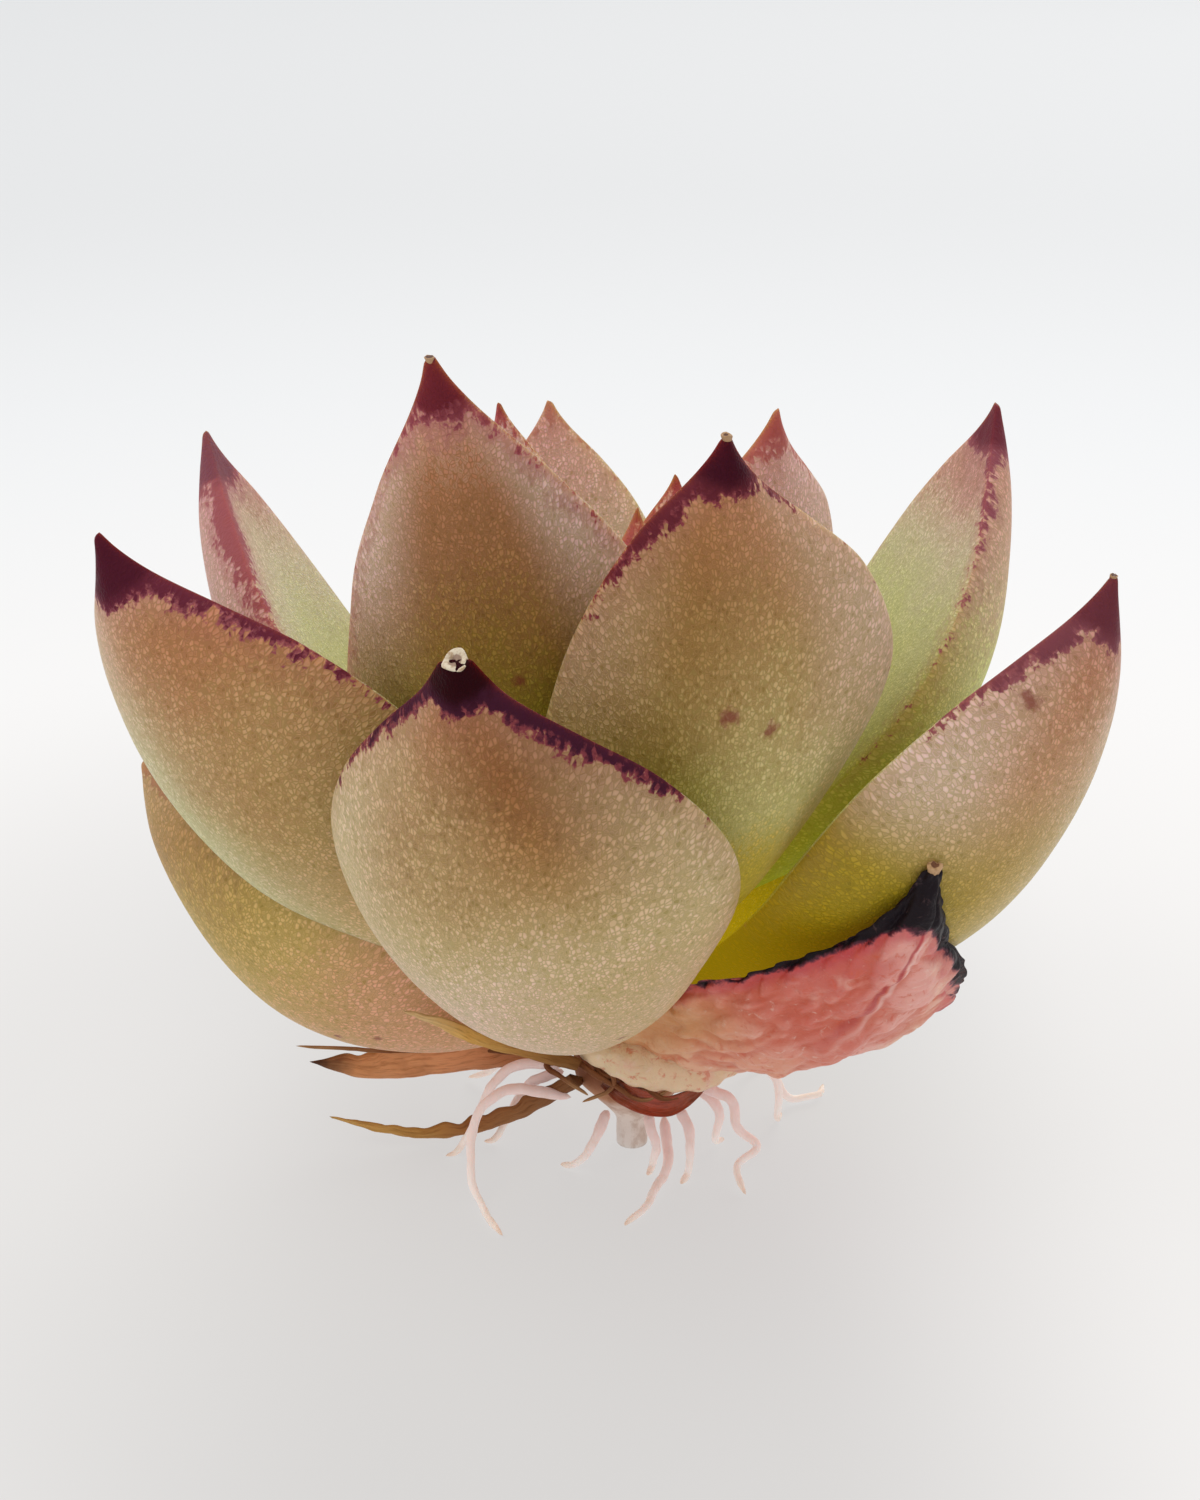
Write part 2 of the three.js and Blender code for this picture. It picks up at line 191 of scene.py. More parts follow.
def outline_at(outline, share):
    """Half width and thickness shares at a share of a leaf's length, on a smooth curve."""
    last = len(outline) - 1
    index = max(i for i in range(last) if outline[i][0] <= max(share, 0))
    before, start, end, after = (outline[min(max(index + k, 0), last)] for k in (-1, 0, 1, 2))
    span = end[0] - start[0]
    local = min((share - start[0]) / span, 1)
    values = []
    for column in (1, 2):
        leaving = span * (end[column] - before[column]) / (end[0] - before[0])
        arriving = span * (after[column] - start[column]) / (after[0] - start[0])
        values.append(smooth_join(local, start[column], leaving, end[column], arriving))
    return values


class Line:
    """A curve through evenly measured points, read by share of its length."""

    def __init__(self, points):
        self.points = points
        self.lengths = [0]
        for start, end in zip(points, points[1:]):
            self.lengths.append(self.lengths[-1] + (end - start).length)
        self.length = self.lengths[-1]

    def at(self, share):
        """Point and direction at a share of the length."""
        wanted = min(max(share, 0), 1) * self.length
        index = 0
        while index < len(self.points) - 2 and self.lengths[index + 1] < wanted:
            index += 1
        start, end = self.points[index], self.points[index + 1]
        local = (wanted - self.lengths[index]) / max((end - start).length, 1e-9)
        ahead = self.points[min(index + 2, len(self.points) - 1)] - start
        behind = end - self.points[max(index - 1, 0)]
        return start.lerp(end, local), behind.lerp(ahead, local).normalized()


def bezier_line(a, b, c, d, steps=96):
    points = []
    for step in range(steps + 1):
        t = step / steps
        points.append(a * (1 - t) ** 3 + b * 3 * t * (1 - t) ** 2 + c * 3 * t * t * (1 - t) + d * t ** 3)
    return Line(points)


def smooth_line(path, steps=24):
    """A curve through every point of the path, without overshoot where points are close."""
    knots = [Vector(point) for point in path]
    knots = [2 * knots[0] - knots[1], *knots, 2 * knots[-1] - knots[-2]]
    points = []
    for p0, p1, p2, p3 in zip(knots, knots[1:], knots[2:], knots[3:]):
        d0, d1, d2 = ((b - a).length ** 0.5 for a, b in ((p0, p1), (p1, p2), (p2, p3)))
        slope1 = ((p1 - p0) / d0 - (p2 - p0) / (d0 + d1) + (p2 - p1) / d1) * d1
        slope2 = ((p2 - p1) / d1 - (p3 - p1) / (d1 + d2) + (p3 - p2) / d2) * d1
        points += [smooth_join(step / steps, p1, slope1, p2, slope2) for step in range(steps)]
    points.append(knots[-2])
    return Line(points)


def stem_radius(height):
    crown = smoothstep(TAPROOT_HEIGHT, CROWN_HEIGHT, height)
    shoot = smoothstep(SHOOT_HEIGHT, STEM_TOP, height)
    return lerp(TAPROOT_RADIUS, lerp(STEM_RADIUS, STEM_TOP_RADIUS, shoot), crown)


# ---- Node helpers ----
def wire(tree, kind, inputs=None, **settings):
    made = tree.nodes.new(kind)
    for key, value in settings.items():
        setattr(made, key, value)
    for key, value in (inputs or {}).items():
        if isinstance(value, bpy.types.NodeSocket):
            tree.links.new(value, made.inputs[key])
        else:
            made.inputs[key].default_value = value
    return made


def feed(kind, inputs, **settings):
    """A new node in the same tree as the sockets that feed it."""
    sockets = (value for value in inputs.values() if isinstance(value, bpy.types.NodeSocket))
    return wire(next(sockets).id_data, kind, inputs, **settings)


def calc(operation, *values):
    return feed("ShaderNodeMath", dict(enumerate(values)), operation=operation).outputs[0]


def times(product, *others):
    for other in others:
        product = calc("MULTIPLY", product, other)
    return product


def minus(first, second):
    return calc("SUBTRACT", first, second)


def stray(value, pattern, amount):
    """The value, moved up and down by a 0 to 1 pattern."""
    return calc("MULTIPLY_ADD", minus(pattern, 0.5), amount, value)


def between(value, low, high, start=0, end=1, kind="SMOOTHSTEP"):
    """From start to end as the value goes from low to high, and level beyond them."""
    inputs = {"Value": value, 1: low, 2: high, 3: start, 4: end}
    return feed("ShaderNodeMapRange", inputs, interpolation_type=kind).outputs[0]


def tint(factor, first, second, kind="MIX"):
    shades = [value if isinstance(value, bpy.types.NodeSocket) else (*value, 1) for value in (first, second)]
    inputs = {0: factor, 6: shades[0], 7: shades[1]}
    return feed("ShaderNodeMix", inputs, data_type="RGBA", blend_type=kind).outputs[2]


def filtered(shade, light):
    return tint(1, shade, light, "MULTIPLY")


def layered(shade, *layers):
    """The shade under layers: the value each one follows, where it starts and is whole, weight and colour."""
    for value, start, whole, weight, layer in layers:
        shade = tint(between(value, start, whole, 0, weight), shade, layer)
    return shade


def ramp(value, stops):
    """Colours by value: each stop is its place, then red, green and blue."""
    made = feed("ShaderNodeValToRGB", {0: value})
    elements = made.color_ramp.elements
    while len(elements) < len(stops):
        elements.new(0.5)
    for element, (place, *shade) in zip(elements, stops):
        element.position = place
        element.color = (*shade, 1)
    return made.outputs[0]


def clouds(vector, scale, detail=2, roughness=0.5, distortion=0):
    inputs = {"Vector": vector, "Scale": scale, "Detail": detail, "Roughness": roughness,
              "Distortion": distortion}
    return feed("ShaderNodeTexNoise", inputs).outputs["Fac"]


def cells(vector, randomness, feature="F1"):
    inputs = {"Vector": vector, "Scale": 1, "Randomness": randomness}
    return feed("ShaderNodeTexVoronoi", inputs, feature=feature)


def stretch(vector, scale):
    return feed("ShaderNodeMapping", {"Vector": vector, "Scale": scale}).outputs[0]


def read(tree, name):
    return wire(tree, "ShaderNodeAttribute", attribute_name=name).outputs["Fac"]


def skin_place(tree):
    return wire(tree, "ShaderNodeUVMap", uv_map="skin").outputs[0]


def new_material(name):
    """A material, its empty tree and a socket with the place on the plant, in metres."""
    material = bpy.data.materials.new(name)
    material.use_nodes = True
    tree = material.node_tree
    tree.nodes.clear()
    return material, tree, wire(tree, "ShaderNodeTexCoord").outputs["Object"]


def finish_shader(tree, **inputs):
    named = {key.replace("_", " "): value for key, value in inputs.items()}
    shader = wire(tree, "ShaderNodeBsdfPrincipled", named)
    tree.links.new(shader.outputs[0], tree.nodes.new("ShaderNodeOutputMaterial").inputs[0])


def finish_material(tree, base, rough, height, depth, **settings):
    """The shader, with its relief: height from 0 to 1 stands for a depth in millimetres.

    Rough is a pattern and the roughness where it is faint and where it is strong.
    """
    pattern, faint, strong = rough
    roughness = between(pattern, 0.3, 0.7, faint, strong, "LINEAR")
    relief = wire(tree, "ShaderNodeBump", {"Height": height, "Distance": depth * MM, "Strength": 1})
    finish_shader(tree, Base_Color=base, Roughness=roughness, Normal=relief.outputs[0], **settings)


# ---- Leaf skin ----
# "low" is the margin on the clockwise side, seen from above, at -1 across the leaf, and "high" the
# other, at 1. Places along a leaf are shares of its length from foot to tip. A look's entries:
# outer, inner: colours along the leaf's back and along its hollow face
# margin, rim: the paler colour near the margins, painted edge light, and its weight at the low and at the
# high one
# shaded, tone: side, weight and start of a darker flank, and the colour that filters it
# crease: side, weight, reach and filter of painted shade, tinted yellow-green, on a flank that lies in a
# crevice near the foot
# glow, glow_shade: strength and colour of a painted glow, an emission that stands for the light that comes
# through the thin foot
# reach: how many mm the dark tip runs down the middle, and its bands down the low and high margins
# band: mm each band is wide at the tip; ragged: how torn the edges are, 1 being usual
# stains: colours of the tip, of the bands and of their torn edge
# flush: weight of the crimson that spreads beyond the edge
# spots: blemishes, each its place across, its place along and its radius in mm
LEAF_LOOK = dict(
    outer=[(0, 0.6, 0.42, 0.28), (0.3, 0.65, 0.46, 0.33), (0.42, 0.65, 0.46, 0.31),
        (0.52, 0.62, 0.46, 0.27), (0.62, 0.55, 0.4, 0.19), (0.71, 0.49, 0.33, 0.145),
        (0.8, 0.4, 0.23, 0.096), (0.92, 0.37, 0.17, 0.072)],
    inner=[(0, 0.34, 0.24, 0.01), (0.25, 0.4, 0.36, 0.04), (0.42, 0.44, 0.42, 0.1),
        (0.6, 0.49, 0.47, 0.18), (0.72, 0.55, 0.46, 0.26), (0.8, 0.56, 0.4, 0.25),
        (0.88, 0.52, 0.27, 0.19), (1, 0.46, 0.2, 0.15)],
    margin=(0.6, 0.47, 0.27),
    rim_light=(0.75, 0.5),
    shaded=(1, 0, 0),
    tone=(0.72, 0.58, 0.34),
    crevice_shade=(1, 0, 0.6, (0.8, 0.8, 0.4)),
    glow=0.06,
    glow_shade=(0.5, 0.36, 0.005),
    stains=((0.025, 0.002, 0.004), (0.1, 0.014, 0.026), (0.25, 0.04, 0.05)),
    reach=(2.6, 6, 6),
    band=(1, 1),
    ragged=1,
    flush=0.15,
    spots=[],
)
LEAF_LOOKS = {
    "outer_leaf_front": dict(
        reach=(2.7, 12, 11.5), band=(0.75, 1), shaded=(1, 0.95, 0.55),
        crevice_shade=(1, 0.75, 0.72, (0.78, 0.73, 0.45)),
        stains=((0.025, 0.002, 0.004), (0.06, 0.011, 0.026), (0.25, 0.04, 0.05)),
        tone=(0.68, 0.46, 0.25), spots=[(0.5, 0.3, 0.35)],
    ),
    "middle_leaf_front": dict(
        glow=0.25,
        outer=[(0, 0.3, 0.26, 0.005), (0.28, 0.4, 0.33, 0.02), (0.4, 0.48, 0.36, 0.06),
            (0.5, 0.53, 0.46, 0.17), (0.6, 0.48, 0.36, 0.14), (0.7, 0.42, 0.26, 0.09),
            (0.8, 0.4, 0.21, 0.075), (0.92, 0.44, 0.2, 0.09)],
        crevice_shade=(-1, 0.9, 0.7, (0.85, 0.9, 0.35)),
        margin=(0.6, 0.42, 0.28), rim_light=(0.4, 0.85), shaded=(-1, 0.9, 0), tone=(0.74, 0.66, 0.45),
        stains=((0.055, 0.006, 0.014), (0.13, 0.02, 0.03), (0.25, 0.04, 0.05)),
        reach=(3.2, 12, 7), band=(0.8, 0.2), ragged=1.3,
        spots=[(-0.03, 0.66, 0.6), (0.24, 0.63, 0.55)],
    ),
    "middle_leaf_front_left": dict(
        glow=0.12,
        outer=[(0, 0.26, 0.24, 0.004), (0.36, 0.3, 0.26, 0.008), (0.5, 0.34, 0.25, 0.03),
            (0.6, 0.34, 0.19, 0.04), (0.7, 0.33, 0.145, 0.05), (0.8, 0.35, 0.145, 0.055),
            (0.88, 0.52, 0.26, 0.155), (0.96, 0.56, 0.28, 0.18)],
        margin=(0.64, 0.48, 0.37), rim_light=(0.85, 0.95), crevice_shade=(-1, 0.6, 0.75, (0.85, 0.8, 0.5)),
        stains=((0.16, 0.02, 0.03), (0.26, 0.055, 0.07), (0.36, 0.09, 0.1)),
        reach=(3.8, 7.5, 13), band=(0.9, 0.15), ragged=1.6, flush=0.5,
        spots=[(0.12, 0.57, 0.5)],
    ),
    "outer_leaf_left": dict(
        outer=[(0, 0.62, 0.57, 0.33), (0.36, 0.68, 0.63, 0.36), (0.5, 0.62, 0.59, 0.33),
            (0.6, 0.58, 0.55, 0.28), (0.7, 0.57, 0.47, 0.25), (0.8, 0.56, 0.38, 0.21),
            (0.92, 0.55, 0.31, 0.2)],
        margin=(0.66, 0.54, 0.38), rim_light=(0.8, 0), shaded=(1, 0.9, 0), tone=(0.72, 0.45, 0.28),
        stains=((0.08, 0.01, 0.022), (0.14, 0.022, 0.04), (0.33, 0.08, 0.09)),
        reach=(4.2, 4, 15), band=(0.4, 0.85), ragged=1.2,
    ),
    "outer_leaf_right": dict(
        glow=0.4, crevice_shade=(-1, 1, 0.72, (0.8, 0.86, 0.1)),
        outer=[(0, 0.4, 0.27, 0.003), (0.26, 0.42, 0.3, 0.006), (0.38, 0.52, 0.42, 0.12),
            (0.5, 0.58, 0.48, 0.24), (0.62, 0.6, 0.47, 0.26), (0.71, 0.62, 0.45, 0.27),
            (0.8, 0.63, 0.42, 0.28), (0.92, 0.55, 0.27, 0.18)],
        margin=(0.68, 0.53, 0.4), rim_light=(0.7, 0.85), shaded=(-1, 0.8, 0), tone=(0.73, 0.5, 0.3),
        stains=((0.16, 0.035, 0.048), (0.22, 0.06, 0.075), (0.32, 0.09, 0.1)),
        reach=(3.8, 12, 5), band=(0.85, 0.7),
        spots=[(-0.75, 0.83, 0.55)],
    ),
    "low_leaf_back_right": dict(
        glow=0.5,
        inner=[(0, 0.42, 0.29, 0.003), (0.4, 0.42, 0.32, 0.006), (0.7, 0.5, 0.42, 0.14)],
    ),
    "low_leaf_left": dict(
        outer=[(0, 0.7, 0.4, 0.28), (0.3, 0.7, 0.4, 0.27), (0.42, 0.68, 0.41, 0.24),
            (0.52, 0.67, 0.45, 0.22), (0.62, 0.62, 0.46, 0.17), (0.72, 0.54, 0.39, 0.12),
            (0.84, 0.48, 0.3, 0.12), (0.95, 0.48, 0.31, 0.15)],
        margin=(0.72, 0.58, 0.42), rim_light=(0.8, 0), shaded=(1, 0.6, 0),
        stains=((0.45, 0.26, 0.15), (0.46, 0.24, 0.13), (0.4, 0.2, 0.1)),
        reach=(1, 4, 10), band=(0.1, 0.4),
        spots=[(0.3, 0.42, 0.3), (0.45, 0.36, 0.3)],
    ),
    "middle_leaf_back_left": dict(
        outer=[(0, 0.46, 0.4, 0.12), (0.3, 0.5, 0.38, 0.2), (0.6, 0.54, 0.32, 0.24),
            (0.95, 0.55, 0.27, 0.22)],
        margin=(0.58, 0.38, 0.3), rim_light=(0.3, 0.5), flush=0.45,
        stains=((0.23, 0.07, 0.09), (0.36, 0.1, 0.11), (0.46, 0.16, 0.16)),
        reach=(4.2, 4, 15), band=(0.5, 1.1), ragged=1.8,
    ),
    "middle_leaf_right": dict(
        glow=0.2, glow_shade=(0.3, 0.42, 0.02),
        outer=[(0, 0.34, 0.4, 0.01), (0.3, 0.38, 0.44, 0.015), (0.47, 0.46, 0.54, 0.05),
            (0.6, 0.56, 0.58, 0.14), (0.7, 0.56, 0.36, 0.17), (0.8, 0.56, 0.3, 0.17),
            (0.95, 0.55, 0.27, 0.17)],
        margin=(0.6, 0.4, 0.27), rim_light=(0.5, 0.5), flush=0.3,
        stains=((0.17, 0.03, 0.045), (0.3, 0.08, 0.1), (0.44, 0.16, 0.15)),
        reach=(3.6, 12, 4), band=(0.35, 0.4), ragged=1.8,
    ),
    "inner_leaf_back": dict(
        inner=[(0, 0.42, 0.4, 0.08), (0.5, 0.58, 0.5, 0.3), (0.8, 0.68, 0.5, 0.36),
            (1, 0.66, 0.36, 0.3)],
        stains=((0.5, 0.2, 0.17), (0.54, 0.25, 0.2), (0.6, 0.33, 0.27)), reach=(1.4, 7, 7),
        band=(0.3, 0.3),
    ),
    "inner_leaf_right": dict(
        stains=((0.4, 0.1, 0.09), (0.46, 0.14, 0.12), (0.55, 0.24, 0.2)), reach=(2.6, 7, 7),
        band=(0.4, 0.5),
    ),
}
YOUNG_LOOK = dict(
    outer=[(0, 0.42, 0.38, 0.1), (0.35, 0.54, 0.44, 0.22), (0.65, 0.66, 0.46, 0.33),
        (0.95, 0.62, 0.34, 0.28)],
    inner=[(0, 0.42, 0.4, 0.08), (0.4, 0.57, 0.52, 0.27), (0.8, 0.68, 0.47, 0.36),
        (1, 0.62, 0.32, 0.28)],
    margin=(0.66, 0.46, 0.37), rim_light=(0.6, 0.6),
    stains=((0.3, 0.05, 0.065), (0.42, 0.1, 0.11), (0.52, 0.2, 0.18)),
    reach=(1.6, 7, 7), band=(0.6, 0.6), ragged=1.6, flush=0.3,
)
# Skin cells, in mm.
CELL_WIDTH = 0.2
CELL_LENGTH = 0.29


def read_skin(tree, leaf):
    """Shares along and across, then mm from the low and high margins, the tip and the midline."""
    along, across, breadth = (read(tree, key) for key in ("along", "across", "breadth"))
    low_gap = times(calc("ADD", 1, across), breadth)
    high_gap = times(minus(1, across), breadth)
    from_tip = times(minus(1, along), leaf.length)
    return along, across, low_gap, high_gap, from_tip, times(calc("ABSOLUTE", across), breadth)


def leaf_material(leaf, look):
    material, tree, place = new_material(leaf.name + "_skin")
    along, across, low_gap, high_gap, from_tip, off_centre = read_skin(tree, leaf)
    skin_map = skin_place(tree)

    patches = clouds(place, 420, 3)
    drift = clouds(place, 90, 2)
    rows = stretch(skin_map, (1 / CELL_WIDTH, 1 / CELL_LENGTH, 1))
    cell = cells(rows, 0.9)
    luck = feed("ShaderNodeSeparateColor", {0: cell.outputs["Color"]}).outputs[0]
    seam = cells(rows, 0.9, "DISTANCE_TO_EDGE").outputs["Distance"]
    hollow = between(seam, 0.02, 0.26)
    # painted glints: pale beads at the centres of some cells
    painted_glints = times(between(cell.outputs["Distance"], 0.45, 0.1), between(luck, 0.45, 0.1))
    fine = clouds(place, 1700, 3, 0.6)

    # the length-wise colour, moved about a little so that no ring shows, and paler at the margins
    wander = stray(stray(along, drift, 0.3), luck, 0.07)
    outer_shade = ramp(wander, look["outer"])
    inner_shade = ramp(wander, look["inner"])
    leaning = stray(across, drift, 0.3)
    side, weight, start = look["shaded"]
    shadow = times(between(times(leaning, side), -0.55, 0.5, 0, weight), between(along, 0.99, 0.85),
                   between(along, start, start + 0.24))
    outer_shade = tint(shadow, outer_shade, filtered(outer_shade, look["tone"]))
    # painted shade, tinted yellow-green, on the flank that lies in a crevice near the foot
    side, weight, reach, tone = look["crevice_shade"]
    crevice_shade_weight = times(between(times(leaning, side), -0.3, 0.7, 0, weight), between(along, reach, reach - 0.22))
    outer_shade = tint(crevice_shade_weight, outer_shade, filtered(outer_shade, tone))
    # painted edge light: paler near the margins, less so on a flank that lies in a crevice
    for weight, turned in zip(look["rim_light"], (-1, 1)):
        rim_light = times(between(times(leaning, turned), 0.3, 1, 0, weight),
                    between(along, 0.95, 0.7, 0.35, 1), minus(1, crevice_shade_weight))
        outer_shade = tint(rim_light, outer_shade, look["margin"])
    shade = tint(between(read(tree, "inner"), 0.45, 0.6), outer_shade, inner_shade)

    # darker, greener cells between pale seams, strewn with painted glints, small pale beads
    pale = filtered(shade, (1.44, 1.44, 1.76))
    deep = filtered(shade, (0.8, 0.86, 0.64))
    depth = times(hollow, between(luck, 0.3, 0.95, 0, 1, "LINEAR"))
    depth = calc("MAXIMUM", depth, between(seam, 0.2, 0.03, 0, 0.75))
    shade = tint(depth, pale, deep)
    shade = tint(times(painted_glints, 0.2), shade, filtered(shade, (1.4, 1.5, 1.9)))
    shade = layered(shade, (patches, 0.35, 0.75, 0.12, deep))

    # crimson blemishes
    for spot_across, spot_along, radius in look["spots"]:
        centre = (spot_across * leaf.breadth(spot_along), spot_along * leaf.length, 0)
        gap = feed("ShaderNodeVectorMath", {0: skin_map, 1: centre}, operation="DISTANCE")
        ragged = stray(gap.outputs["Value"], fine, 2.6 * radius)
        shade = layered(shade, (ragged, radius * 1.2, radius * 0.2, 0.8, (0.24, 0.045, 0.03)))

    # the dark tongue at the tip and the wedges down the margins, with a crimson, speckled edge
    tip_reach, *band_reaches = look["reach"]
    dark, band_shade, edge = look["stains"]
    tongue = minus(tip_reach, calc("MULTIPLY_ADD", off_centre, 0.3, from_tip))
    inside = tongue
    for gap, reach, band in zip((low_gap, high_gap), band_reaches, look["band"]):
        left = calc("POWER", between(from_tip, 0, reach, 0, 1, "LINEAR"), 2)
        wedge = calc("MULTIPLY_ADD", left, -band - 0.35, band)
        inside = calc("MAXIMUM", inside, minus(wedge, gap))
    bite = stray(inside, patches, 1.3 * look["ragged"])
    bite = stray(bite, luck, 0.4 * look["ragged"])
    bite = stray(bite, fine, 1.3 * look["ragged"])
    shade = layered(
        shade,
        (bite, -1.6, 0, look["flush"], edge),
        (bite, -0.05, 0.1, 1, edge),
        (bite, 0.05, 0.4, 1, band_shade),
    )
    shade = tint(times(between(tongue, 0, 1.2), between(bite, 0.2, 0.8)), shade, dark)

    stained = between(bite, 0, 0.5)
    dull = between(stained, 0, 1, 0.22, 0.04)
    # a painted glow: emission near the foot, standing for light that comes through the flesh
    through = times(between(along, 0.52, 0.12), look["glow"])
    height = calc("MULTIPLY_ADD", hollow, -0.7, times(fine, 0.3))
    height = calc("ADD", height, times(stained, 0.1))
    finish_material(tree, shade, (fine, 0.42, 0.56), height, 0.03, Subsurface_Weight=0.3,
                    Subsurface_Radius=(1, 0.75, 0.2), Subsurface_Scale=2 * MM,
                    Specular_IOR_Level=dull, Emission_Color=(*look["glow_shade"], 1),
                    Emission_Strength=through)
    return material


# ---- Making pieces ----
def keep(form, name, material, node=None, smoothing=0):
    """The finished mesh as an object at the origin, riding on the plant and standing for the node."""
    bmesh.ops.recalc_face_normals(form, faces=form.faces)
    mesh = bpy.data.meshes.new(name)
    form.to_mesh(mesh)
    form.free()
    mesh.shade_smooth()
    mesh.materials.append(material)
    piece = bpy.data.objects.new(name, mesh)
    bpy.context.scene.collection.objects.link(piece)
    if smoothing:
        finer = piece.modifiers.new("finer", "SUBSURF")
        finer.levels = finer.render_levels = smoothing
    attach(piece, "root")
    if node:
        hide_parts(node)


class Leaf:
    """Where a leaf's skin lies: share runs from foot to tip, turn goes round the section."""

    def __init__(self, order, outline, foot_depth=FOOT_DEPTH):
        self.name, azimuth, reach, height, self.width, self.thickness, *bent = LEAVES[order]
        bow, roll, *self.fuller, self.belly = bent
        foot_height = FIRST_LEAF_HEIGHT + LEAF_RISE * order
        foot = Vector((stem_radius(foot_height) + LEAF_GAP - foot_depth, 0, foot_height))
        tip = Vector((reach, 0, height))
        chord = tip - foot
        lift = math.atan2(chord.z, chord.x)
        arm = chord.length * SPINE_ARM
        low, high = lift - math.radians(bow), lift + math.radians(bow)
        self.spine = bezier_line(
            foot,
            foot + arm * Vector((math.cos(low), 0, math.sin(low))),
            tip - arm * Vector((math.cos(high), 0, math.sin(high))),
            tip,
        )
        self.length = self.spine.length
        self.outline = outline
        self.roll = math.radians(roll)
        self.turned = Matrix.Rotation(math.radians(azimuth - 90), 3, "Z")

    def breadth(self, share):
        return outline_at(self.outline, share ** self.belly)[0] * self.width / 2

    def at(self, share, turn, puff=0, spread=1):
        """A point of the skin in millimetres; puff pushes it out of the leaf."""
        centre, ahead = self.spine.at(share)
        up = Vector((-ahead.z, 0, ahead.x))
        wide, thick = outline_at(self.outline, share ** self.belly)
        fuller = self.fuller[1 if math.cos(turn) > 0 else 0] * abs(math.cos(turn))
        shoulder = smoothstep(0.3, 0.65, share) * (1 - smoothstep(0.78, 0.97, share))
        half_width = wide * self.width / 2 * spread * (1 + fuller * shoulder)
        across = half_width * math.cos(turn)
        face = UPPER_SHARE if math.sin(turn) > 0 else UPPER_SHARE - 1
        bulge = face * thick * self.thickness * abs(math.sin(turn)) ** MARGIN_TAPER
        raised = bulge + CUP * half_width * math.cos(turn) ** 2 + puff * math.sin(turn)
        across += puff * math.cos(turn)
        point = centre + up * (raised * math.cos(self.roll) + across * math.sin(self.roll))
        point.y += across * math.cos(self.roll) - raised * math.sin(self.roll)
        return self.turned @ point

    def tip(self):
        """The tip and the way it points."""
        point, ahead = self.spine.at(1)
        return self.turned @ point, self.turned @ ahead


def is_pole(share):
    return share < 1e-4 or share > 1 - 1e-4


def skin_form(sides, rings, crowding=1):
    """A closed form drawn out from foot to tip, and each vertex's share along and turn round it.

    Crowding above 1 sets the rings closer towards the tip.
    """
    form = bmesh.new()
    form.loops.layers.uv.new("skin")
    names = ("along", "across", "inner", "breadth", "relief")
    keys = {name: form.verts.layers.float.new(name) for name in names}
    bmesh.ops.create_uvsphere(form, u_segments=sides, v_segments=rings, radius=1)
    places = {}
    for vert in form.verts:
        share = 1 - math.acos(min(max(vert.co.z, -1), 1)) / math.pi
        share = 1 - (1 - share) ** crowding
        turn = math.atan2(vert.co.y, vert.co.x)
        places[vert] = (share, turn)
        side = 0 if is_pole(share) else math.sin(turn)
        vert[keys["along"]] = share
        vert[keys["across"]] = 0 if is_pole(share) else math.cos(turn)
        vert[keys["inner"]] = 0.5 if abs(side) < 0.01 else float(side > 0)
    return form, places, keys


def map_skin(form, places, width, length, taper=lambda share: 1):
    """The skin's map in millimetres, across and along, with the inner face beside the outer."""
    skin = form.loops.layers.uv["skin"]
    for face in form.faces:
        turns = [places[vert][1] for vert in face.verts if not is_pole(places[vert][0])]
        beside = 2 * width if sum(math.sin(turn) for turn in turns) > 0 else 0
        middle = sum(math.cos(turn) for turn in turns) / len(turns)
        for loop in face.loops:
            share, turn = places[loop.vert]
            across = middle if is_pole(share) else math.cos(turn)
            loop[skin].uv = (beside + across * taper(share) * width / 2, share * length)


def living_leaf(order):
    leaf = Leaf(order, BLUNT_OUTLINE if LEAVES[order][0] == "outer_leaf_front" else LEAF_OUTLINE)
    sides, rings = (40, 56) if leaf.width > BIG_LEAF_WIDTH else (24, 32)
    form, places, keys = skin_form(sides, rings, 1.3)
    for vert, (share, turn) in places.items():
        outward = math.sin(turn) < 0
        drift = noise.noise(Vector((share * 5, math.cos(turn) * 1.6, order * 7.3 + math.sin(turn))))
        keel = math.exp(-((math.cos(turn) / 0.16) ** 2)) * smoothstep(0.45, 0.8, share) * (1 - share) ** 0.5
        puff = leaf.width * (0.008 * drift + (0.012 * keel if outward else 0))
        puff *= min(1, 8 * (1 - share))
        vert.co = leaf.at(share, turn, puff) * MM
        vert[keys["breadth"]] = leaf.breadth(share)
    map_skin(form, places, leaf.width, leaf.length, lambda share: leaf.breadth(share) * 2 / leaf.width)
    rosy = YOUNG_LOOK if order >= FIRST_ROSY_LEAF else {}
    skin = leaf_material(leaf, {**LEAF_LOOK, **rosy, **LEAF_LOOKS.get(leaf.name, {})})
    keep(form, leaf.name + "_flesh", skin, leaf.name, smoothing=1)
    return leaf


# ---- Withered leaf ----
# Lines that run up the withered leaf: place across, half width, strength and colour.
RIBS = [(0.07, 0.055, 0.8, (0.45, 0.02, 0.03)), (0.15, 0.04, 0.6, (0.93, 0.62, 0.55))]


def creased(place):
    """0 along the thin creases of a shrunken skin, up to 1 on the lumps between them."""
    bent = place + noise.noise_vector(place * 0.8) * 0.6
    nearest, second = noise.voronoi(bent)[0][:2]
    return smoothstep(0, 0.42, second - nearest)


